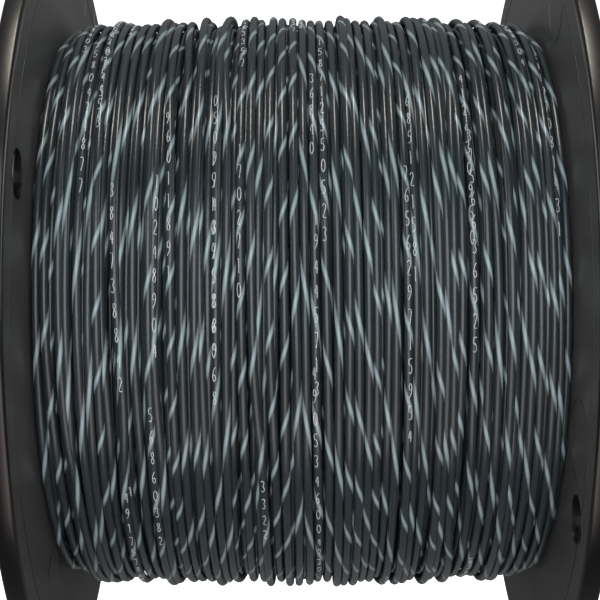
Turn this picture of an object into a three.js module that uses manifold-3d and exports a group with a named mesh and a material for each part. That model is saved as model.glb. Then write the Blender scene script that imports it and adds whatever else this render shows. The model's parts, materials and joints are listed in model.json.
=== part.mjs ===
// A spool of thin insulated hook-up wire, lying on the rims of its two flanges.
// Millimetres, +Z up, the spool's axis along X, the viewed side towards -Y.
import * as THREE from 'three';
import { mergeVertices } from 'three/addons/utils/BufferGeometryUtils.js';
import Module from 'manifold-3d';

const wasm = await Module();
wasm.setup();

// Spool: two flanges on a hollow barrel
const FLANGE_RADIUS = 82.55;
const FLANGE_THICKNESS = 4.2;
const TRAVERSE = 104;
const RIM_INNER_FILLET = 0.9;
const RIM_OUTER_FILLET = 0.6;
const BARREL_RADIUS = 23.8;
const BARREL_WALL = 2.5;
const MOUTH_CHAMFER = 0.8;

// Arbor tube that a spindle goes through, held in the barrel by flat webs
const ARBOR_BORE_RADIUS = 7.95;
const ARBOR_WALL = 2.4;
const WEB_COUNT = 6;
const WEB_THICKNESS = 2;
const WEB_SETBACK = 2.5;
const WEB_ROOT_OVERLAP = 0.6;

// Hole through each flange near its rim, for the end of the wire
const END_HOLE_RADIUS = 4.75;
const END_HOLE_FROM_RIM = 9.95;
const LEFT_HOLE_DEGREES = 19;
const RIGHT_HOLE_DEGREES = -35;

// Winding: a crowned solid with rounded shoulders
const WINDING_CLEARANCE = 0.3;
const CROWN_RADIUS = 64.5;
const CROWN_FALL_QUARTER = 0.15;
const CROWN_FALL_HALF = 0.5;
const CROWN_FALL_OUTER = 1.15;
const SHOULDER_FALL_TOP = 2;
const SHOULDER_FALL_MIDDLE = 4.4;
const SHOULDER_FALL_END = 7.5;
const SHOULDER_TOP_INSET = 2.9;
const SHOULDER_MIDDLE_INSET = 1.3;
const CROWN_QUARTER_AT = 14;
const CROWN_HALF_AT = 27;
const CROWN_OUTER_AT = 42.5;

// Number of flat sides that each round surface is made of
const SPOOL_SIDES = 96;
const BORE_SIDES = 48;
const WINDING_SIDES = 96;
const HOLE_SIDES = 24;

// Sizes that follow from the ones above
const FLANGE_INNER_X = TRAVERSE / 2;
const FLANGE_OUTER_X = FLANGE_INNER_X + FLANGE_THICKNESS;
const BARREL_INNER_RADIUS = BARREL_RADIUS - BARREL_WALL;
const END_HOLE_CENTRE_RADIUS = FLANGE_RADIUS - END_HOLE_FROM_RIM;
const ARBOR_OUTER_RADIUS = ARBOR_BORE_RADIUS + ARBOR_WALL;
const WINDING_END_X = FLANGE_INNER_X - WINDING_CLEARANCE;
const WINDING_BORE_RADIUS = BARREL_RADIUS + WINDING_CLEARANCE;
const AXIS_HEIGHT = FLANGE_RADIUS * Math.cos(Math.PI / SPOOL_SIDES);
const DIAGONAL = Math.SQRT1_2;

const spoolPlastic = new THREE.MeshStandardMaterial({
  name: 'spool_plastic',
  color: 0x17181a,
  roughness: 0.3,
});
const wireInsulation = new THREE.MeshStandardMaterial({
  name: 'wire_insulation',
  color: 0x454c4e,
  roughness: 0.4,
});

// Turns a closed outline of [radius, x] points about the X axis. Half a side of
// turn puts a flat side, not a corner, at the bottom.
function turned(outline, sides) {
  const points = [...outline, outline[0]].map(([radius, x]) => new THREE.Vector2(radius, x));
  const geometry = new THREE.LatheGeometry(points, sides, Math.PI / sides);
  geometry.rotateZ(-Math.PI / 2);
  return toSolid(geometry);
}

// Welds a geometry's shared corners and makes a solid of it
function toSolid(geometry) {
  const bare = geometry.clone();
  bare.deleteAttribute('normal');
  bare.deleteAttribute('uv');
  const welded = mergeVertices(bare, 1e-4);
  return new wasm.Manifold(new wasm.Mesh({
    numProp: 3,
    vertProperties: new Float32Array(welded.attributes.position.array),
    triVerts: new Uint32Array(welded.index.array),
  }));
}

// Makes a named mesh of a solid, lifted so that the rims stand on z = 0
function toMesh(solid, name, material) {
  const { vertProperties, triVerts } = solid.getMesh();
  const geometry = new THREE.BufferGeometry();
  geometry.setAttribute('position', new THREE.BufferAttribute(new Float32Array(vertProperties), 3));
  geometry.setIndex(new THREE.BufferAttribute(new Uint32Array(triVerts), 1));
  geometry.translate(0, 0, AXIS_HEIGHT);
  geometry.computeVertexNormals();
  const mesh = new THREE.Mesh(geometry, material);
  mesh.name = name;
  return mesh;
}

// A round bar along X, for cutting holes
function barAlongX(radius, length, sides) {
  const geometry = new THREE.CylinderGeometry(radius, radius, length, sides);
  geometry.rotateZ(Math.PI / 2);
  return geometry;
}

// Outline of one end of the spool from the barrel's middle, in [radius, x] points
function spoolEnd() {
  const innerEdge = FLANGE_INNER_X + RIM_INNER_FILLET * (1 - DIAGONAL);
  const outerEdge = FLANGE_OUTER_X - RIM_OUTER_FILLET * (1 - DIAGONAL);
  return [
    [BARREL_RADIUS, FLANGE_INNER_X],
    [FLANGE_RADIUS - RIM_INNER_FILLET, FLANGE_INNER_X],
    [FLANGE_RADIUS - RIM_INNER_FILLET * (1 - DIAGONAL), innerEdge],
    [FLANGE_RADIUS, FLANGE_INNER_X + RIM_INNER_FILLET],
    [FLANGE_RADIUS, FLANGE_OUTER_X - RIM_OUTER_FILLET],
    [FLANGE_RADIUS - RIM_OUTER_FILLET * (1 - DIAGONAL), outerEdge],
    [FLANGE_RADIUS - RIM_OUTER_FILLET, FLANGE_OUTER_X],
    [BARREL_INNER_RADIUS + MOUTH_CHAMFER, FLANGE_OUTER_X],
    [BARREL_INNER_RADIUS, FLANGE_OUTER_X - MOUTH_CHAMFER],
  ];
}

// Mirrors an outline to the other side of x = 0, so that the loop goes on round
function withMirror(end) {
  const other = end.map(([radius, x]) => [radius, -x]).reverse();
  return [...end, ...other];
}

const shell = turned(withMirror(spoolEnd()), SPOOL_SIDES);

const arborTube = turned([
  [ARBOR_OUTER_RADIUS, FLANGE_OUTER_X],
  [ARBOR_BORE_RADIUS, FLANGE_OUTER_X],
  [ARBOR_BORE_RADIUS, -FLANGE_OUTER_X],
  [ARBOR_OUTER_RADIUS, -FLANGE_OUTER_X],
], BORE_SIDES);

// Flat webs from the arbor tube to the barrel, each sunk a little into both
const webInner = ARBOR_OUTER_RADIUS - WEB_ROOT_OVERLAP;
const webOuter = BARREL_INNER_RADIUS + WEB_ROOT_OVERLAP;
const webs = Array.from({ length: WEB_COUNT }, (_, index) => {
  const web = new THREE.BoxGeometry(
    2 * (FLANGE_OUTER_X - WEB_SETBACK),
    WEB_THICKNESS,
    webOuter - webInner,
  );
  web.translate(0, 0, (webOuter + webInner) / 2);
  web.rotateX((2 * Math.PI * index) / WEB_COUNT);
  return toSolid(web);
});

// Angles are measured up from the horizontal that points at the viewer
function endHole(side, degrees) {
  const angle = THREE.MathUtils.degToRad(degrees);
  const geometry = barAlongX(END_HOLE_RADIUS, 2 * FLANGE_THICKNESS, HOLE_SIDES);
  geometry.translate(
    side * (FLANGE_INNER_X + FLANGE_THICKNESS / 2),
    -END_HOLE_CENTRE_RADIUS * Math.cos(angle),
    END_HOLE_CENTRE_RADIUS * Math.sin(angle),
  );
  return toSolid(geometry);
}

let spool = shell.add(arborTube);
for (const web of webs) {
  spool = spool.add(web);
}
spool = spool.subtract(endHole(-1, LEFT_HOLE_DEGREES));
spool = spool.subtract(endHole(1, RIGHT_HOLE_DEGREES));

// The wire's many layers as one turned solid, clear of the barrel and flanges
const windingEnd = [
  [CROWN_RADIUS, 0],
  [CROWN_RADIUS - CROWN_FALL_QUARTER, CROWN_QUARTER_AT],
  [CROWN_RADIUS - CROWN_FALL_HALF, CROWN_HALF_AT],
  [CROWN_RADIUS - CROWN_FALL_OUTER, CROWN_OUTER_AT],
  [CROWN_RADIUS - SHOULDER_FALL_TOP, FLANGE_INNER_X - SHOULDER_TOP_INSET],
  [CROWN_RADIUS - SHOULDER_FALL_MIDDLE, FLANGE_INNER_X - SHOULDER_MIDDLE_INSET],
  [CROWN_RADIUS - SHOULDER_FALL_END, WINDING_END_X],
  [WINDING_BORE_RADIUS, WINDING_END_X],
];
const windingOtherEnd = windingEnd.slice(1).map(([radius, x]) => [radius, -x]).reverse();
const winding = turned([...windingEnd, ...windingOtherEnd], WINDING_SIDES);

const group = new THREE.Group();
group.name = 'wire_spool';
group.add(toMesh(spool, 'spool', spoolPlastic));
group.add(toMesh(winding, 'wire_winding', wireInsulation));

export default group;
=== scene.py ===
# %% [markdown]
# # A spool of striped hook-up wire
# This lesson dresses a plain CAD spool as the real thing: a glossy black moulded
# spool, full of thin insulated wire that carries a pale spiral stripe. Everything
# is in metres, in the same frame as the CAD: the spool's axis runs along X, it
# stands on its two rims at z = 0, and the viewer stands on the -Y side.

# %% Load the CAD frame
import json
import math

import bmesh
import bpy
import mathutils
import numpy as np
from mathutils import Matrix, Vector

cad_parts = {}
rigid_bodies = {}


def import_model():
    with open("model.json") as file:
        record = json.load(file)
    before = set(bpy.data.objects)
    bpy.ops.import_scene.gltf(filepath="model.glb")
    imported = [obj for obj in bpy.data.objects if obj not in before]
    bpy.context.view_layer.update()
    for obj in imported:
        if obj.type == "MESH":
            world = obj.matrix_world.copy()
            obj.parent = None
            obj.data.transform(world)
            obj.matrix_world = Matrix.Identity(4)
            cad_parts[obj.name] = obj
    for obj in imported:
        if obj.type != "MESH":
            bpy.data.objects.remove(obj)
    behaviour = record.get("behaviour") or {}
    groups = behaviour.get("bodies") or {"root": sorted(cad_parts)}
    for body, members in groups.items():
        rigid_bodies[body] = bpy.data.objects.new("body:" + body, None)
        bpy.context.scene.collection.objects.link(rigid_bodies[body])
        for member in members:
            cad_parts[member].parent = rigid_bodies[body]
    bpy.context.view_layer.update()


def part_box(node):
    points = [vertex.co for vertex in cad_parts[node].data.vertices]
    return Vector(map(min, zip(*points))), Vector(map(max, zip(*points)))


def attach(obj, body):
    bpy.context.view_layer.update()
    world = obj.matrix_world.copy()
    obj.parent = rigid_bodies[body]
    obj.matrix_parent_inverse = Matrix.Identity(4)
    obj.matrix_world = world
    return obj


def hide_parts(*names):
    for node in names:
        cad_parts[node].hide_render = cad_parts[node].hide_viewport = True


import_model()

# %% [markdown]
# ## Sizes
# The overall sizes come from the CAD nodes' boxes, so the picture follows the
# part. The rest are the sizes that a spool maker and a wire maker would quote.

# %% Sizes of the spool and the wire
MM = 0.001
spool_low, spool_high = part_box("spool")
winding_low, winding_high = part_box("wire_winding")

WINDING_SIDES = 96
axis_height = (spool_low[2] + spool_high[2]) / 2
flange_radius = (spool_high[2] - spool_low[2]) / 2
flange_outer_x = spool_high[0]
FLANGE_THICKNESS = 4.2 * MM
flange_inner_x = flange_outer_x - FLANGE_THICKNESS
crown_radius = (winding_high[2] - winding_low[2]) / 2 / math.cos(math.pi / WINDING_SIDES)

WIRE_DIAMETER = 1.75 * MM
BARREL_RADIUS = 23.8 * MM
BARREL_WALL = 2.5 * MM
BORE_RADIUS = 7.95 * MM
ARBOR_WALL = 2.4 * MM
END_HOLE_RADIUS = 4.75 * MM
END_HOLE_FROM_AXIS = 72.6 * MM
LEFT_HOLE_DEGREES = 19
RIGHT_HOLE_DEGREES = -35
print("flange radius", round(flange_radius / MM, 2), "crown radius", round(crown_radius / MM, 2))

# %% [markdown]
# ## Small helpers
# A colour is given as the sRGB hex value that a colour picker shows, and one
# function turns it to the linear values that the renderer works in. One function
# adds a node to any tree, with its settings and its links.

# %% Helpers for colours and nodes
def linear(hex_colour, alpha=1.0):
    """Turn an sRGB hex colour, such as '#3a4143', to linear red, green, blue and alpha."""
    values = [int(hex_colour[i:i + 2], 16) / 255 for i in (1, 3, 5)]
    curve = [v / 12.92 if v <= 0.04045 else ((v + 0.055) / 1.055) ** 2.4 for v in values]
    return (*curve, alpha)


def add_node(tree, kind, settings=None, **inputs):
    """Add a node; an input is a value, or an output socket of another node to link from."""
    node = tree.nodes.new(kind)
    for name, value in (settings or {}).items():
        setattr(node, name, value)
    for name, value in inputs.items():
        key = int(name[1:]) if name[0] == "_" else name.replace("_", " ")
        socket = node.inputs[key]
        if isinstance(value, bpy.types.NodeSocket):
            tree.links.new(value, socket)
        else:
            socket.default_value = value
    return node


def new_material(name):
    """Make an empty node material with its output and its Principled shader."""
    material = bpy.data.materials.new(name)
    material.use_nodes = True
    tree = material.node_tree
    tree.nodes.clear()
    shader = add_node(tree, "ShaderNodeBsdfPrincipled")
    output = add_node(tree, "ShaderNodeOutputMaterial")
    tree.links.new(shader.outputs["BSDF"], output.inputs["Surface"])
    return material, tree, shader


def link_object(name, mesh):
    """Put a mesh in the scene as an object at the origin."""
    piece = bpy.data.objects.new(name, mesh)
    bpy.context.scene.collection.objects.link(piece)
    return piece


# %% [markdown]
# ## Camera and studio
# The photograph was taken level with the spool's axis, about two spool widths
# away, so the flanges show only their inner faces at a grazing angle. The lens
# follows from the size of the flanges in the frame, which is taken as 600 by 600
# pixels.

# %% Camera
FRAME_PIXELS = 600
FOCAL_PIXELS = 1426
CAMERA_DISTANCE = 330 * MM
CAMERA_SHIFT_X = -0.25 * MM
CAMERA_SHIFT_Z = 0.25 * MM
CAMERA_ROLL_DEGREES = 0.3

camera_data = bpy.data.cameras.new("camera")
camera_data.sensor_width = 36
camera_data.lens = 36 * FOCAL_PIXELS / FRAME_PIXELS
camera_data.clip_start = 0.01
camera = bpy.data.objects.new("camera", camera_data)
camera.location = (CAMERA_SHIFT_X, -CAMERA_DISTANCE, axis_height + CAMERA_SHIFT_Z)
camera.rotation_euler = (math.radians(90), math.radians(CAMERA_ROLL_DEGREES), 0)
bpy.context.scene.collection.objects.link(camera)
bpy.context.scene.camera = camera
print("lens", round(camera_data.lens, 1), "mm")


# %% [markdown]
# ## Studio
# A product like this is shot on a white sheet that runs up into its own backdrop.
# The sheet here is seen by the camera only, so it doesn't wash out the black
# plastic. A broad soft box in front gives each wire its grey sheen, a narrow one
# almost overhead gives the fine highlights near the top, and boxes at the sides
# and behind keep the far faces from going black. The room's air is bright high up
# and low down at the back, and dark at the level of the camera.

# %% Floor and backdrop
def studio_sheet():
    """Make a round floor whose edge bends up into a backdrop on all sides."""
    radius, bend, rise, around = 2.0, 0.5, 1.6, 64
    profile = [(0.02, 0.0), (radius - bend, 0.0)]
    for step in range(1, 9):
        angle = math.pi / 2 * step / 8
        profile.append((radius - bend + bend * math.sin(angle), bend - bend * math.cos(angle)))
    profile.append((radius, rise))
    shape = bmesh.new()
    chain = [shape.verts.new((r, 0.0, z)) for r, z in profile]
    edges = [shape.edges.new(pair) for pair in zip(chain, chain[1:])]
    bmesh.ops.spin(
        shape, geom=chain + edges, cent=(0, 0, 0), axis=(0, 0, 1), angle=2 * math.pi, steps=around,
    )
    bmesh.ops.remove_doubles(shape, verts=shape.verts, dist=1e-5)
    bmesh.ops.holes_fill(shape, edges=[e for e in shape.edges if e.is_boundary], sides=around)
    for face in shape.faces:
        middle = face.calc_center_median()
        inward = (-middle.x, -middle.y, 1.0)
        if sum(n * i for n, i in zip(face.normal, inward)) < 0:
            face.normal_flip()
    for face in [f for f in shape.faces if len(f.verts) > 4 and f.calc_center_median().z > 0.1]:
        shape.faces.remove(face)
    mesh = bpy.data.meshes.new("studio_sheet")
    shape.to_mesh(mesh)
    shape.free()
    mesh.shade_smooth()
    return link_object("studio_sheet", mesh)


sheet = studio_sheet()
sheet.visible_glossy = False
sheet.visible_diffuse = False
sheet.visible_shadow = False
sheet_material, _, sheet_shader = new_material("matt_white_paper")
sheet_shader.inputs["Base Color"].default_value = linear("#f4f4f3")
sheet_shader.inputs["Roughness"].default_value = 0.9
sheet_shader.inputs["Emission Color"].default_value = linear("#ffffff")
sheet_shader.inputs["Emission Strength"].default_value = 1.0
sheet.data.materials.append(sheet_material)
print("studio sheet:", len(sheet.data.polygons), "faces")


# %% Lights
def area_light(name, location, target, size, power, colour="#ffffff"):
    """Add a rectangular soft box that faces a target point."""
    data = bpy.data.lights.new(name, "AREA")
    data.shape = "RECTANGLE"
    data.size, data.size_y = size
    data.energy = power
    data.color = linear(colour)[:3]
    light = bpy.data.objects.new(name, data)
    light.location = location
    direction = np.array(target) - np.array(location)
    flat = math.hypot(direction[0], direction[1])
    light.rotation_euler = (math.atan2(flat, -direction[2]), 0, math.atan2(-direction[0], direction[1]))
    bpy.context.scene.collection.objects.link(light)
    return light


spool_centre = (0.0, 0.0, axis_height)
area_light("overhead_soft_box", (0.0, -0.30, 1.2), spool_centre, (0.20, 0.42), 6.0, "#fff6ea")
area_light("front_soft_box", (0.0, -0.9, 0.25), spool_centre, (0.9, 0.9), 9.6, "#eef3f6")
for side in (-1, 1):
    area_light(f"side_soft_box_{side + 2}", (side * 1.5, 0.1, 0.5), spool_centre, (1.2, 1.0), 16.0)
    area_light(f"rear_soft_box_{side + 2}", (side * 1.2, 1.1, 0.35), spool_centre, (0.8, 0.6), 7.0)
low_box = area_light(
    "low_soft_box", (0.0, -0.15, 0.004), (0.0, -0.10, 0.08), (0.12, 0.12), 0.09, "#fff0ea",
)
low_box.visible_camera = False
print("lights:", len(bpy.data.lights))

# %% Light of the room
world = bpy.data.worlds.new("studio_air")
world.use_nodes = True
air = world.node_tree
direction = add_node(air, "ShaderNodeTexCoord")
upward = add_node(air, "ShaderNodeSeparateXYZ", Vector=direction.outputs["Generated"])
slope = add_node(air, "ShaderNodeMath", {"operation": "ABSOLUTE"}, _0=upward.outputs["Z"])
glow = add_node(
    air, "ShaderNodeMapRange", {"interpolation_type": "SMOOTHSTEP"},
    Value=slope.outputs[0], From_Min=0.04, From_Max=0.6, To_Min=0.01, To_Max=0.26,
)
behind = add_node(
    air, "ShaderNodeMapRange", {"interpolation_type": "SMOOTHSTEP"},
    Value=upward.outputs["Y"], From_Min=-0.3, From_Max=0.6, To_Min=0.08, To_Max=1.0,
)
glow = add_node(
    air, "ShaderNodeMath", {"operation": "MULTIPLY"},
    _0=glow.outputs["Result"], _1=behind.outputs["Result"],
)
air.links.new(glow.outputs[0], air.nodes["Background"].inputs["Strength"])
air.nodes["Background"].inputs["Color"].default_value = linear("#f2f6f8")
bpy.context.scene.world = world
bpy.context.scene.view_settings.view_transform = "Standard"

# %% [markdown]
# ## How the wire lies
# The real winding is one length of wire, laid turn by turn from flange to flange
# and back. Each turn sinks into the layers below until it touches them, and it
# wanders a little sideways, so some turns climb on their neighbours and others
# leave dark gaps. The lay is worked out the same way here. Every turn is cut into
# stations round the axis, and at each station the wire is dropped as low as the
# turns already laid there let it.

# %% Path of the wire
LAYERS = 4
TURNS_IN_LAYER = (52, 52, 51, 48)
STATIONS = 96
LAYER_END_STEP = 0.25 * MM
END_DWELL = 0.6
SIDE_WANDER = (0.25, 0.3, 0.4, 0.75)
STACKING = 0.87
HIGH_TURN_LIMIT = 0.25 * MM
SIDE_SLIP = 0.5
SIDE_STIFFNESS = 0.35
SLIP_CHOICES = 11
SLIP_CHOICE_SHARPNESS = 0.03
TURN_START_STATIONS = 14
SEED = 11
rng = np.random.default_rng(SEED)


def smooth_noise(count, cells, generator):
    """Smooth random curve of `count` points that changes about `cells` times, from -1 to 1."""
    knots = generator.uniform(-1, 1, int(cells) + 4)
    at = np.linspace(1, len(knots) - 2.001, count)
    low = at.astype(int)
    part = at - low
    before, here, there, after = (knots[low + shift] for shift in (-1, 0, 1, 2))
    slope_here = (there - before) / 2
    slope_there = (after - here) / 2
    return (
        (2 * part**3 - 3 * part**2 + 1) * here
        + (part**3 - 2 * part**2 + part) * slope_here
        + (-2 * part**3 + 3 * part**2) * there
        + (part**3 - part**2) * slope_there
    )


def winding_outline(x):
    """Radius of the CAD winding's outer face at x: a low crown with rounded shoulders."""
    stations = np.array([0, 14, 27, 42.5, 49.1, 50.7, 51.7]) * MM
    falls = np.array([0, 0.15, 0.5, 1.15, 2.0, 4.4, 7.5]) * MM
    return crown_radius - np.interp(np.abs(x), stations, falls)


def blur(values, width):
    """Smooth an array along its last axis with a bell curve of this width in stations."""
    reach = int(3 * width)
    weights = np.exp(-0.5 * (np.arange(-reach, reach + 1) / width) ** 2)
    weights /= weights.sum()
    padding = [(0, 0)] * (values.ndim - 1) + [(reach, reach)]
    padded = np.pad(values, padding, mode="edge")
    return np.apply_along_axis(lambda row: np.convolve(row, weights, mode="valid"), -1, padded)


def sideways_path(layer):
    """Sideways places where the machine's guide holds one layer's turns."""
    reach = flange_inner_x - WIRE_DIAMETER / 2 - 0.05 * MM - LAYER_END_STEP * layer
    turns = TURNS_IN_LAYER[layer]
    count = turns * STATIONS
    along = np.linspace(-1, 1, count + 1) * (1 + END_DWELL / turns)
    if layer % 2:
        along = -along
    wander = 0.14 * WIRE_DIAMETER * smooth_noise(count + 1, turns * 2.2, rng)
    wander += SIDE_WANDER[layer] * WIRE_DIAMETER * smooth_noise(count + 1, turns * 1.3, rng)
    return np.clip(along * reach + wander, -reach, reach), reach


def height_over(x, floor, laid_x, laid_r):
    """Lowest radius that a wire centred at x can lie at, over the floor and the turns laid there."""
    gap = np.abs(laid_x - x[..., None, :])
    rise = np.sqrt(np.clip(WIRE_DIAMETER**2 - gap**2, 0, None))
    touch = np.where(gap < WIRE_DIAMETER, laid_r + rise, 0)
    return np.maximum(floor, touch.max(axis=-2, initial=0))


def lay_turn(guide, reach, depth, laid_x, laid_r, slip_before, radius_before):
    """Lay one turn: slip sideways to the lowest place near the guide, then rest there."""
    near = np.abs(laid_x - guide).min(axis=1, initial=1) < 2.5 * WIRE_DIAMETER
    laid_x, laid_r = laid_x[near], laid_r[near]
    slips = np.linspace(-SIDE_SLIP, SIDE_SLIP, SLIP_CHOICES)[:, None] * WIRE_DIAMETER
    tried = np.clip(guide + slips, -reach, reach)
    height = height_over(tried, winding_outline(tried) - depth, laid_x, laid_r)
    cost = height / WIRE_DIAMETER + SIDE_STIFFNESS * (slips / WIRE_DIAMETER) ** 2
    cost = blur(cost, 4)
    likely = np.exp(-(cost - cost.min(axis=0)) / SLIP_CHOICE_SHARPNESS)
    slip = (likely * slips).sum(axis=0) / likely.sum(axis=0)
    start = np.clip(np.arange(STATIONS) / TURN_START_STATIONS, 0, 1)
    start = start * start * (3 - 2 * start)
    slip = slip_before + (slip - slip_before) * start
    x = np.clip(guide + slip, -reach, reach)
    radius = height_over(x, winding_outline(x) - depth, laid_x, laid_r)
    padded = np.pad(radius, 3, mode="edge")
    widened = np.max([padded[i:i + STATIONS] for i in range(7)], axis=0)
    radius = blur(widened, 3)
    radius = radius_before + (radius - radius_before) * start if radius_before else radius
    return x, radius


def lay_wire():
    """Lay every layer's turns in order; give a list of (x, radius) arrays, one for each layer."""
    laid_x = np.zeros((0, STATIONS))
    laid_r = np.zeros((0, STATIONS))
    depth = WIRE_DIAMETER * (0.5 + LAYERS * STACKING)
    layers = []
    slip_before, radius_before = 0.0, 0.0
    for layer in range(LAYERS):
        guide, reach = sideways_path(layer)
        xs, rs = [], []
        for turn in range(TURNS_IN_LAYER[layer]):
            here = guide[turn * STATIONS:(turn + 1) * STATIONS]
            x, r = lay_turn(here, reach, depth, laid_x, laid_r, slip_before, radius_before)
            slip_before, radius_before = x[-1] - here[-1], r[-1]
            laid_x = np.vstack([laid_x, x])
            laid_r = np.vstack([laid_r, r])
            xs.append(x)
            rs.append(r)
        layers.append([np.concatenate(xs), np.concatenate(rs)])
    top_x, top_r = layers[-1]
    excess = np.mean(top_r + WIRE_DIAMETER / 2 - winding_outline(top_x))
    for number, (x, r) in enumerate(layers):
        outline = winding_outline(x) - WIRE_DIAMETER / 2
        over = r - excess - outline
        limit = HIGH_TURN_LIMIT * np.clip((flange_inner_x - 2 * MM - np.abs(x)) / (4 * MM), 0, 1)
        over = np.where(over > limit, limit + (over - limit) * 0.2, over)
        layers[number][1] = outline + over
        print("layer", number, "mean", round(float(over.mean() / MM), 2),
              "spread", round(float(over.std() / MM), 2), "top", round(float(over.max() / MM), 2))
    return layers


wire_layers = lay_wire()

# %% [markdown]
# ## The stripe's twist
# The insulation is coextruded with a narrow pale stripe, and the wire turns on
# itself as it leaves the machine, so the stripe runs round it as a long spiral.
# The photograph was put together from one half and its mirror image. To match it,
# the spiral runs one way on the left of the winding and the other way on the
# right. The twist at each point is a number of whole turns, kept as an attribute.

# %% Points and twist of each layer
STRIPE_PITCH = 18.5 * MM
PACE_SPREAD = 0.5
PACE_LENGTH = 0.11


def layer_points(x, radius):
    """Turn a layer's sideways places and radii to points in space, wound round the X axis."""
    angle = math.pi / 2 + 2 * math.pi * np.arange(len(x)) / STATIONS
    return np.column_stack([x, radius * np.sin(angle), axis_height + radius * np.cos(angle)])


def stripe_twist(points, generator):
    """Twist of the stripe along the wire, in turns, with its hand following the side."""
    step = np.linalg.norm(np.diff(points, axis=0), axis=1)
    along = np.concatenate([[0], np.cumsum(step)])
    hand = -np.sign(points[:, 0] + 1e-9)
    pace = 1 + PACE_SPREAD * smooth_noise(len(points), along[-1] / PACE_LENGTH, generator)
    twist = np.concatenate([[0], np.cumsum(step * (hand * pace)[1:] / STRIPE_PITCH)])
    return along, twist


# %% [markdown]
# ## The turns as tubes
# A tube along a path is what Geometry Nodes does best. The tree takes a chain of
# edges, makes a curve of it and sweeps a small circle along it. The circle's
# points carry the direction they face, and the chain's points carry the twist,
# and both arrive on the tube for the material to read.

# %% Tree that makes a wire from a chain of points
def wire_tree():
    """Build the node tree that sweeps the wire's round section along a chain of edges."""
    tree = bpy.data.node_groups.new("wire_from_chain", "GeometryNodeTree")
    face = tree.interface
    face.new_socket("Chain", in_out="INPUT", socket_type="NodeSocketGeometry")
    for name, kind, value in (
        ("Wire Radius", "NodeSocketFloat", WIRE_DIAMETER / 2),
        ("Sides", "NodeSocketInt", 10),
        ("Insulation", "NodeSocketMaterial", None),
    ):
        socket = face.new_socket(name, in_out="INPUT", socket_type=kind)
        if value is not None:
            socket.default_value = value
    face.new_socket("Wire", in_out="OUTPUT", socket_type="NodeSocketGeometry")
    given = add_node(tree, "NodeGroupInput")
    path = add_node(tree, "GeometryNodeMeshToCurve", Mesh=given.outputs["Chain"])
    section = add_node(
        tree, "GeometryNodeCurvePrimitiveCircle",
        Radius=given.outputs["Wire Radius"], Resolution=given.outputs["Sides"],
    )
    place = add_node(tree, "GeometryNodeInputPosition")
    facing = add_node(
        tree, "ShaderNodeVectorMath", {"operation": "NORMALIZE"}, _0=place.outputs["Position"],
    )
    marked = add_node(
        tree, "GeometryNodeStoreNamedAttribute", {"data_type": "FLOAT_VECTOR", "domain": "POINT"},
        Geometry=section.outputs["Curve"], Name="facing", Value=facing.outputs["Vector"],
    )
    tube = add_node(
        tree, "GeometryNodeCurveToMesh",
        Curve=path.outputs["Curve"], Profile_Curve=marked.outputs["Geometry"], Fill_Caps=True,
    )
    smooth = add_node(tree, "GeometryNodeSetShadeSmooth", Geometry=tube.outputs["Mesh"])
    real = add_node(tree, "GeometryNodeRealizeInstances", Geometry=smooth.outputs["Geometry"])
    finished = add_node(
        tree, "GeometryNodeSetMaterial",
        Geometry=real.outputs["Geometry"], Material=given.outputs["Insulation"],
    )
    result = add_node(tree, "NodeGroupOutput")
    tree.links.new(finished.outputs["Geometry"], result.inputs["Wire"])
    return tree


def plain_mesh(piece):
    """Turn a piece with live modifiers into a plain mesh and take the modifiers off."""
    depsgraph = bpy.context.evaluated_depsgraph_get()
    mesh = bpy.data.meshes.new_from_object(piece.evaluated_get(depsgraph))
    piece.modifiers.clear()
    piece.data = mesh
    return mesh


def set_input(modifier, name, value):
    """Set a Geometry Nodes modifier's input by its socket's identifier."""
    for socket in modifier.node_group.interface.items_tree:
        if socket.item_type == "SOCKET" and socket.in_out == "INPUT" and socket.name == name:
            modifier[socket.identifier] = value


# %% [markdown]
# ## Insulation
# Hook-up wire is insulated with extruded PVC. It comes out of the die smooth and
# slightly soft, so its highlights are long and a little blurred. The stripe is a
# second, pale PVC that is laid into the surface of the dark grey one. It is drawn
# from the tube's own attributes: the direction that a point faces, less the twist,
# says how far round from the stripe the point is. The grey varies in patches of
# about 11 mm, and a grain of 0.7 mm, drawn coarser than the real one so that it
# shows, breaks up the highlights.

# %% Extruded PVC with a spiral stripe
STRIPE_SHARE = 0.135
STRIPE_EDGE = 0.09


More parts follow.
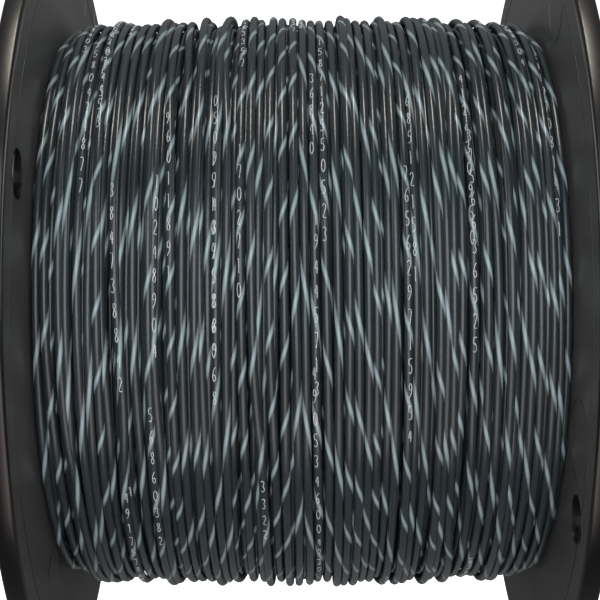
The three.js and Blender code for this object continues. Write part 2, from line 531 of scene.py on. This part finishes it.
def striped_pvc():
    """Dark grey extruded PVC with a coextruded pale stripe."""
    material, tree, shader = new_material("extruded_pvc_striped")
    facing = add_node(tree, "ShaderNodeAttribute", {"attribute_name": "facing"})
    twist = add_node(tree, "ShaderNodeAttribute", {"attribute_name": "twist"})
    split = add_node(tree, "ShaderNodeSeparateXYZ", Vector=facing.outputs["Vector"])
    angle = add_node(
        tree, "ShaderNodeMath", {"operation": "ARCTAN2"}, _0=split.outputs["Y"], _1=split.outputs["X"],
    )
    turns = add_node(
        tree, "ShaderNodeMath", {"operation": "DIVIDE"}, _0=angle.outputs[0], _1=2 * math.pi,
    )
    phase = add_node(
        tree, "ShaderNodeMath", {"operation": "SUBTRACT"}, _0=turns.outputs[0], _1=twist.outputs["Fac"],
    )
    away = add_node(
        tree, "ShaderNodeMath", {"operation": "PINGPONG"}, _0=phase.outputs[0], _1=0.5,
    )
    stripe = add_node(
        tree, "ShaderNodeMapRange", {"interpolation_type": "SMOOTHSTEP"},
        Value=away.outputs[0], From_Min=STRIPE_SHARE / 2 + STRIPE_EDGE / 2,
        From_Max=STRIPE_SHARE / 2 - STRIPE_EDGE / 2, To_Min=0.0, To_Max=1.0,
    )
    place = add_node(tree, "ShaderNodeTexCoord")
    cloud = add_node(
        tree, "ShaderNodeTexNoise", Vector=place.outputs["Object"], Scale=90.0, Detail=3.0,
    )
    dark = add_node(
        tree, "ShaderNodeMix", {"data_type": "RGBA"},
        _0=cloud.outputs["Fac"], _6=linear("#1d2326"), _7=linear("#2f383c"),
    )
    pale = add_node(
        tree, "ShaderNodeMix", {"data_type": "RGBA"},
        _0=cloud.outputs["Fac"], _6=linear("#6b7b80"), _7=linear("#95a5aa"),
    )
    colour = add_node(
        tree, "ShaderNodeMix", {"data_type": "RGBA"},
        _0=stripe.outputs["Result"], _6=dark.outputs[2], _7=pale.outputs[2],
    )
    tree.links.new(colour.outputs[2], shader.inputs["Base Color"])
    shader.inputs["Roughness"].default_value = 0.27
    shader.inputs["IOR"].default_value = 1.53
    grain = add_node(
        tree, "ShaderNodeTexNoise", Vector=place.outputs["Object"], Scale=1400.0, Detail=2.0,
    )
    bump = add_node(
        tree, "ShaderNodeBump", Height=grain.outputs["Fac"], Strength=0.5, Distance=0.00008,
    )
    tree.links.new(bump.outputs["Normal"], shader.inputs["Normal"])
    return material


insulation = striped_pvc()

# %% Make the layers
SIDES_BY_LAYER = (6, 8, 8, 10)
wire_pieces = []
chain_tree = wire_tree()
for number, (x, radius) in enumerate(wire_layers):
    points = layer_points(x, radius)
    along, twist = stripe_twist(points, rng)
    mesh = bpy.data.meshes.new("wire_chain")
    mesh.from_pydata(points.tolist(), [(i, i + 1) for i in range(len(points) - 1)], [])
    mesh.attributes.new("twist", "FLOAT", "POINT").data.foreach_set("value", twist.astype(np.float32))
    layer_object = link_object(f"wire_layer_{number + 1}", mesh)
    sweep = layer_object.modifiers.new("wire", "NODES")
    sweep.node_group = chain_tree
    set_input(sweep, "Wire Radius", WIRE_DIAMETER / 2)
    set_input(sweep, "Sides", SIDES_BY_LAYER[number])
    set_input(sweep, "Insulation", insulation)
    mesh = plain_mesh(layer_object)
    wire_pieces.append(layer_object)
    print(layer_object.name, len(mesh.polygons), "faces", round(float(along[-1]), 1), "m of wire")

# %% [markdown]
# ## Printed numerals
# Such wire carries a line of tiny print along its outside, worn in places. Here it
# is a row of plain numerals with no meaning. Each numeral is a chain of strokes that
# is bent onto the wire's surface, and the same node tree sweeps it as a hair-thin
# raised line of ink. The ink wears off in patches of about 1.5 mm.

# %% Numerals along the top turns
NUMERAL_LENGTH = 2.9 * MM
NUMERAL_WIDTH = 0.8 * MM
NUMERAL_PITCH = 4.6 * MM
INK_THICKNESS = 0.2 * MM
NUMERAL_RUNS = 52
NUMERAL_STROKES = (
    ((0.5, 0), (0.95, 0.25), (0.95, 0.75), (0.5, 1), (0.05, 0.75), (0.05, 0.25), (0.5, 0)),
    ((0.3, 0.85), (0.5, 1), (0.5, 0)),
    ((0.05, 0.8), (0.5, 1), (0.95, 0.75), (0.6, 0.42), (0.05, 0), (0.95, 0)),
    ((0.05, 0.88), (0.55, 1), (0.92, 0.77), (0.45, 0.54), (0.95, 0.27), (0.5, 0), (0.05, 0.12)),
    ((0.72, 0), (0.72, 1), (0.05, 0.32), (0.98, 0.32)),
    ((0.9, 1), (0.12, 1), (0.08, 0.56), (0.6, 0.6), (0.95, 0.3), (0.55, 0), (0.05, 0.1)),
    ((0.8, 1), (0.3, 0.75), (0.05, 0.35), (0.4, 0), (0.92, 0.2), (0.7, 0.52), (0.1, 0.4)),
    ((0.05, 1), (0.95, 1), (0.4, 0)),
    ((0.5, 0.54), (0.1, 0.77), (0.5, 1), (0.9, 0.77), (0.5, 0.54), (0.05, 0.26), (0.5, 0),
     (0.95, 0.26), (0.5, 0.54)),
    ((0.2, 0), (0.7, 0.25), (0.95, 0.65), (0.6, 1), (0.08, 0.8), (0.3, 0.48), (0.9, 0.6)),
)


def soften(stroke):
    """Cut the corners of a stroke once, so that it bends smoothly."""
    points = np.array(stroke, dtype=float)
    early, late = 0.75 * points[:-1] + 0.25 * points[1:], 0.25 * points[:-1] + 0.75 * points[1:]
    middle = np.stack([early, late], axis=1).reshape(-1, 2)
    return np.vstack([points[:1], middle[1:-1], points[-1:]])


def numeral_chains(points, generator):
    """Points and edges of runs of numerals that lie on the outside of the wire's path."""
    step = np.linalg.norm(np.diff(points, axis=0), axis=1)
    along = np.concatenate([[0], np.cumsum(step)])
    vertices, edges = [], []
    starts = np.sort(generator.uniform(0.05, along[-1] - 0.15, NUMERAL_RUNS))
    for start in starts:
        lean, drift = generator.uniform(-0.45, 0.45), generator.uniform(-0.07, 0.07)
        for place in range(int(generator.integers(4, 14))):
            strokes = NUMERAL_STROKES[int(generator.integers(0, 10))]
            first = len(vertices)
            for across, up in soften(strokes):
                at = start + place * NUMERAL_PITCH + up * NUMERAL_LENGTH
                centre = np.array([np.interp(at, along, points[:, k]) for k in range(3)])
                outward = centre - (centre[0], 0.0, axis_height)
                outward /= np.linalg.norm(outward)
                turn = lean + drift * place + (across - 0.5) * NUMERAL_WIDTH / (WIRE_DIAMETER / 2)
                reach = WIRE_DIAMETER / 2 - 0.03 * MM
                vertices.append(
                    centre + reach * (outward * math.cos(turn) + np.array([math.sin(turn), 0.0, 0.0]))
                )
            edges += [(i, i + 1) for i in range(first, len(vertices) - 1)]
    return np.array(vertices), edges


def printing_ink():
    """White marking ink, thin and slightly worn, on PVC."""
    material, tree, shader = new_material("marking_ink_white")
    place = add_node(tree, "ShaderNodeTexCoord")
    wear = add_node(tree, "ShaderNodeTexNoise", Vector=place.outputs["Object"], Scale=700.0, Detail=2.0)
    colour = add_node(
        tree, "ShaderNodeMix", {"data_type": "RGBA"},
        _0=wear.outputs["Fac"], _6=linear("#747f82"), _7=linear("#e2e6e6"),
    )
    tree.links.new(colour.outputs[2], shader.inputs["Base Color"])
    shader.inputs["Roughness"].default_value = 0.45
    return material


chain_points, chain_edges = numeral_chains(layer_points(*wire_layers[-1]), rng)
mesh = bpy.data.meshes.new("numeral_chains")
mesh.from_pydata(chain_points.tolist(), chain_edges, [])
numerals = link_object("wire_numerals", mesh)
sweep = numerals.modifiers.new("ink", "NODES")
sweep.node_group = chain_tree
set_input(sweep, "Wire Radius", INK_THICKNESS / 2)
set_input(sweep, "Sides", 4)
set_input(sweep, "Insulation", printing_ink())
print("numerals:", len(plain_mesh(numerals).polygons), "faces")

# %% [markdown]
# ## What lies under the visible turns
# The turns below the top layers show only as dark lines between the others. One
# turned form stands for them, a little below the lowest layer that is laid. Its
# colour is painted shade: it is much darker than the wire's own grey, and it has
# darker bands, as wide as a wire, that are painted shade in the gaps between turns.

# %% Core of the winding
def turned_mesh(name, outline, sides):
    """Turn a closed outline of (radius, x) points about the spool's axis."""
    count = len(outline)
    vertices = []
    for side in range(sides):
        angle = 2 * math.pi * (side + 0.5) / sides
        for radius, x in outline:
            vertices.append((x, radius * math.sin(angle), axis_height + radius * math.cos(angle)))
    faces = []
    for side in range(sides):
        here, there = side * count, (side + 1) % sides * count
        for i in range(count):
            j = (i + 1) % count
            faces.append((here + i, here + j, there + j, there + i))
    mesh = bpy.data.meshes.new(name)
    mesh.from_pydata(vertices, [], faces)
    shape = bmesh.new()
    shape.from_mesh(mesh)
    bmesh.ops.recalc_face_normals(shape, faces=shape.faces)
    shape.to_mesh(mesh)
    shape.free()
    mesh.shade_smooth()
    mesh.set_sharp_from_angle(angle=math.radians(35))
    return mesh


def core_outline():
    """Outline of the core, under the lowest layer that is laid."""
    depth = WIRE_DIAMETER * (LAYERS + 0.3)
    reach = flange_inner_x - 0.35 * MM
    xs = np.linspace(-reach, reach, 41)
    top = [(float(winding_outline(x) - depth), float(x)) for x in xs]
    bore = BARREL_RADIUS + 0.3 * MM
    return top + [(bore, reach), (bore, -reach)]


core = link_object("wire_core", turned_mesh("wire_core", core_outline(), 96))
core_material, core_tree, core_shader = new_material("extruded_pvc_in_shadow")
core_place = add_node(core_tree, "ShaderNodeTexCoord")
core_gap_shade_bands = add_node(
    core_tree, "ShaderNodeTexWave", {"wave_type": "BANDS", "bands_direction": "X"},
    Vector=core_place.outputs["Object"], Scale=1 / WIRE_DIAMETER / 20 * math.pi * 2, Distortion=0.0,
)
# Painted shade: both greys are far darker than the wire's own, and the darker band is the shade in the
# gap between two turns.
core_painted_shade = add_node(
    core_tree, "ShaderNodeMix", {"data_type": "RGBA"},
    _0=core_gap_shade_bands.outputs["Fac"], _6=linear("#0a0b0b"), _7=linear("#1b1e1f"),
)
core_tree.links.new(core_painted_shade.outputs[2], core_shader.inputs["Base Color"])
core_shader.inputs["Roughness"].default_value = 0.4
core.data.materials.append(core_material)

# %% [markdown]
# ## The spool
# Each flange is a thin disc with a softened rim, moulded in glossy black
# polystyrene with the hollow barrel. The profile is turned about the axis, then
# the small holes for the wire's end are cut through. The flat faces are shaded
# flat, so that the holes leave no streaks in them.

# %% Spool body
def arc(centre_radius, centre_x, size, start, end, steps=5):
    """Points of a rounded corner in (radius, x), from one angle to another in degrees."""
    angles = np.radians(np.linspace(start, end, steps))
    return [(centre_radius + size * math.cos(a), centre_x + size * math.sin(a)) for a in angles]


def spool_outline():
    """Closed outline of the flanges and the barrel's wall."""
    inner_round, outer_round, mouth = 0.9 * MM, 0.6 * MM, 0.8 * MM
    inside = BARREL_RADIUS - BARREL_WALL
    half = [(BARREL_RADIUS, flange_inner_x)]
    half += [(flange_radius - 6.5 * MM, flange_inner_x)]
    half += arc(flange_radius - inner_round, flange_inner_x + inner_round, inner_round, -90, 0)
    half += arc(flange_radius - outer_round, flange_outer_x - outer_round, outer_round, 0, 90)
    half += [(inside + mouth, flange_outer_x), (inside, flange_outer_x - mouth)]
    other = [(radius, -x) for radius, x in reversed(half)]
    return half + other


def cut(piece, cutter):
    """Cut one mesh with another and throw the cutter away."""
    boolean = piece.modifiers.new("cut", "BOOLEAN")
    boolean.operation = "DIFFERENCE"
    boolean.solver = "EXACT"
    boolean.object = cutter
    plain_mesh(piece)
    bpy.data.objects.remove(cutter)


def end_hole(side, degrees):
    """A round bar that cuts the hole for the wire's end."""
    shape = bmesh.new()
    bmesh.ops.create_cone(
        shape, cap_ends=True, segments=48, radius1=END_HOLE_RADIUS, radius2=END_HOLE_RADIUS,
        depth=3 * FLANGE_THICKNESS,
    )
    angle = math.radians(degrees)
    middle = (flange_inner_x + flange_outer_x) / 2
    for vertex in shape.verts:
        x, y, z = vertex.co
        vertex.co = (
            side * middle + z,
            y - END_HOLE_FROM_AXIS * math.cos(angle),
            axis_height + x + END_HOLE_FROM_AXIS * math.sin(angle),
        )
    if shape.calc_volume(signed=True) < 0:
        bmesh.ops.reverse_faces(shape, faces=shape.faces)
    mesh = bpy.data.meshes.new("end_hole")
    shape.to_mesh(mesh)
    shape.free()
    return link_object("end_hole", mesh)


spool = link_object("spool_body", turned_mesh("spool_body", spool_outline(), 256))
arbor = link_object("arbor", turned_mesh("arbor", [
    (BORE_RADIUS + ARBOR_WALL, flange_outer_x), (BORE_RADIUS, flange_outer_x),
    (BORE_RADIUS, -flange_outer_x), (BORE_RADIUS + ARBOR_WALL, -flange_outer_x),
], 96))
cut(spool, end_hole(-1, LEFT_HOLE_DEGREES))
cut(spool, end_hole(1, RIGHT_HOLE_DEGREES))
spool.data.shade_smooth()
spool.data.set_sharp_from_angle(angle=math.radians(30))
for face in spool.data.polygons:
    if abs(face.normal.x) > 0.9999:
        face.use_smooth = False
print("spool body:", len(spool.data.polygons), "faces")

# %% [markdown]
# ## Moulded polystyrene
# Spools are moulded in polystyrene that is coloured right through. A polished mould
# gives it a gloss with a faint orange peel, here of about 4 mm, and the melt's flow
# leaves patches of about 30 mm that are a little duller. Handling leaves a pale
# bloom on the open faces, which a little sheen stands for. The walls of the small
# holes stay clean, so they have none.

# %% Glossy black plastic

def moulded_polystyrene(name="moulded_polystyrene_black", bloom=0.06):
    """Glossy black polystyrene from a polished mould, with a faint pale bloom on open faces."""
    material, tree, shader = new_material(name)
    place = add_node(tree, "ShaderNodeTexCoord")
    flow = add_node(tree, "ShaderNodeTexNoise", Vector=place.outputs["Object"], Scale=35.0, Detail=2.0)
    colour = add_node(
        tree, "ShaderNodeMix", {"data_type": "RGBA"},
        _0=flow.outputs["Fac"], _6=linear("#060607"), _7=linear("#0b0b0c"),
    )
    tree.links.new(colour.outputs[2], shader.inputs["Base Color"])
    gloss = add_node(
        tree, "ShaderNodeMapRange", Value=flow.outputs["Fac"], To_Min=0.26, To_Max=0.34,
    )
    tree.links.new(gloss.outputs["Result"], shader.inputs["Roughness"])
    shader.inputs["IOR"].default_value = 1.5
    shader.inputs["Sheen Weight"].default_value = bloom
    shader.inputs["Sheen Roughness"].default_value = 0.4
    peel = add_node(tree, "ShaderNodeTexNoise", Vector=place.outputs["Object"], Scale=260.0, Detail=2.0)
    bump = add_node(tree, "ShaderNodeBump", Height=peel.outputs["Fac"], Strength=0.06, Distance=0.0002)
    tree.links.new(bump.outputs["Normal"], shader.inputs["Normal"])
    return material


black_plastic = moulded_polystyrene()

# %% [markdown]
# ## Webs and mould marks
# Flat webs join the arbor tube to the barrel. The mould also leaves fine raised
# lines on the flanges: round ones where pins pushed the part out, one all round
# near the rim, and a lip round each hole. They are chains again, swept by the same
# node tree and half sunk in the face.

# %% Webs
WEB_COUNT = 6
WEB_THICKNESS = 2.0 * MM
WEB_SETBACK = 2.5 * MM


def web_mesh():
    """Flat webs between the arbor tube and the barrel, with softened edges."""
    shape = bmesh.new()
    inner, outer = BORE_RADIUS + ARBOR_WALL - 0.6 * MM, BARREL_RADIUS - BARREL_WALL + 0.6 * MM
    for number in range(WEB_COUNT):
        made = bmesh.ops.create_cube(shape, size=1.0)["verts"]
        for vertex in made:
            vertex.co.x *= 2 * (flange_outer_x - WEB_SETBACK)
            vertex.co.y *= WEB_THICKNESS
            vertex.co.z = vertex.co.z * (outer - inner) + (outer + inner) / 2
        turn = mathutils.Matrix.Rotation(2 * math.pi * number / WEB_COUNT, 3, "X")
        bmesh.ops.rotate(shape, verts=made, matrix=turn, cent=(0, 0, 0))
    bmesh.ops.translate(shape, verts=shape.verts, vec=(0, 0, axis_height))
    long_edges = [e for e in shape.edges if abs(e.verts[0].co.x - e.verts[1].co.x) < 1e-6]
    bmesh.ops.bevel(
        shape, geom=long_edges, offset=0.3 * MM, segments=2, affect="EDGES", profile=0.5,
    )
    mesh = bpy.data.meshes.new("webs")
    shape.to_mesh(mesh)
    shape.free()
    return mesh


webs = link_object("webs", web_mesh())
print("webs:", len(webs.data.polygons), "faces")

# %% Mould marks
MARK_THICKNESS = 0.2 * MM
MARKS = (
    (1, 72.6, 56, 7.65), (1, 67.7, -23, 8.0), (-1, 75.0, 108, 7.65), (-1, 67.7, -62, 8.0),
    (-1, 0, 0, 76.0), (1, 0, 0, 76.0),
    (-1, END_HOLE_FROM_AXIS / MM, LEFT_HOLE_DEGREES, END_HOLE_RADIUS / MM + 0.12),
    (1, END_HOLE_FROM_AXIS / MM, RIGHT_HOLE_DEGREES, END_HOLE_RADIUS / MM + 0.12),
)


def mark_chains():
    """Closed chains for the raised lines on the flanges' inner and outer faces."""
    vertices, edges = [], []
    for side, from_axis, degrees, radius in MARKS:
        middle = math.radians(degrees)
        count = 256 if radius > 20 else 48
        for face_x in (flange_inner_x, flange_outer_x):
            first = len(vertices)
            for step in range(count):
                angle = 2 * math.pi * step / count
                y = -from_axis * math.cos(middle) + radius * math.cos(angle)
                z = from_axis * math.sin(middle) + radius * math.sin(angle)
                vertices.append((side * face_x, y * MM, axis_height + z * MM))
            edges += [(first + i, first + (i + 1) % count) for i in range(count)]
    return vertices, edges


mark_points, mark_edges = mark_chains()
mesh = bpy.data.meshes.new("mark_chains")
mesh.from_pydata(mark_points, mark_edges, [])
marks = link_object("mould_marks", mesh)
sweep = marks.modifiers.new("marks", "NODES")
sweep.node_group = chain_tree
set_input(sweep, "Wire Radius", MARK_THICKNESS / 2)
set_input(sweep, "Sides", 6)
set_input(sweep, "Insulation", black_plastic)
print("mould marks:", len(plain_mesh(marks).polygons), "faces")

# %% [markdown]
# ## Plastic on the pieces
# All the moulded pieces share one plastic. The faces that line the two small holes
# are found by their distance from the hole's centre and get the clean plastic.

# %% Plastic on the spool's pieces
hole_plastic = moulded_polystyrene("moulded_polystyrene_in_hole", bloom=0.0)
for piece in (spool, arbor, webs):
    piece.data.materials.clear()
    piece.data.materials.append(black_plastic)
spool.data.materials.append(hole_plastic)
in_holes = 0
for side, degrees in ((-1, LEFT_HOLE_DEGREES), (1, RIGHT_HOLE_DEGREES)):
    hole_y = -END_HOLE_FROM_AXIS * math.cos(math.radians(degrees))
    hole_z = axis_height + END_HOLE_FROM_AXIS * math.sin(math.radians(degrees))
    for face in spool.data.polygons:
        off = math.hypot(face.center.y - hole_y, face.center.z - hole_z)
        if face.center.x * side > 0 and abs(face.normal.x) < 0.1 and off < END_HOLE_RADIUS * 1.05:
            face.material_index = 1
            in_holes += 1
print("faces in the holes:", in_holes)

# %% [markdown]
# ## Tie the pieces to the frame
# Each piece rides on the part's one body and takes the place of the CAD node that
# it dresses.

# %% Ride and replace
for piece in (spool, arbor, webs, marks):
    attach(piece, "root")
for piece in [core, numerals, *wire_pieces]:
    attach(piece, "root")
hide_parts("spool")
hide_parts("wire_winding")
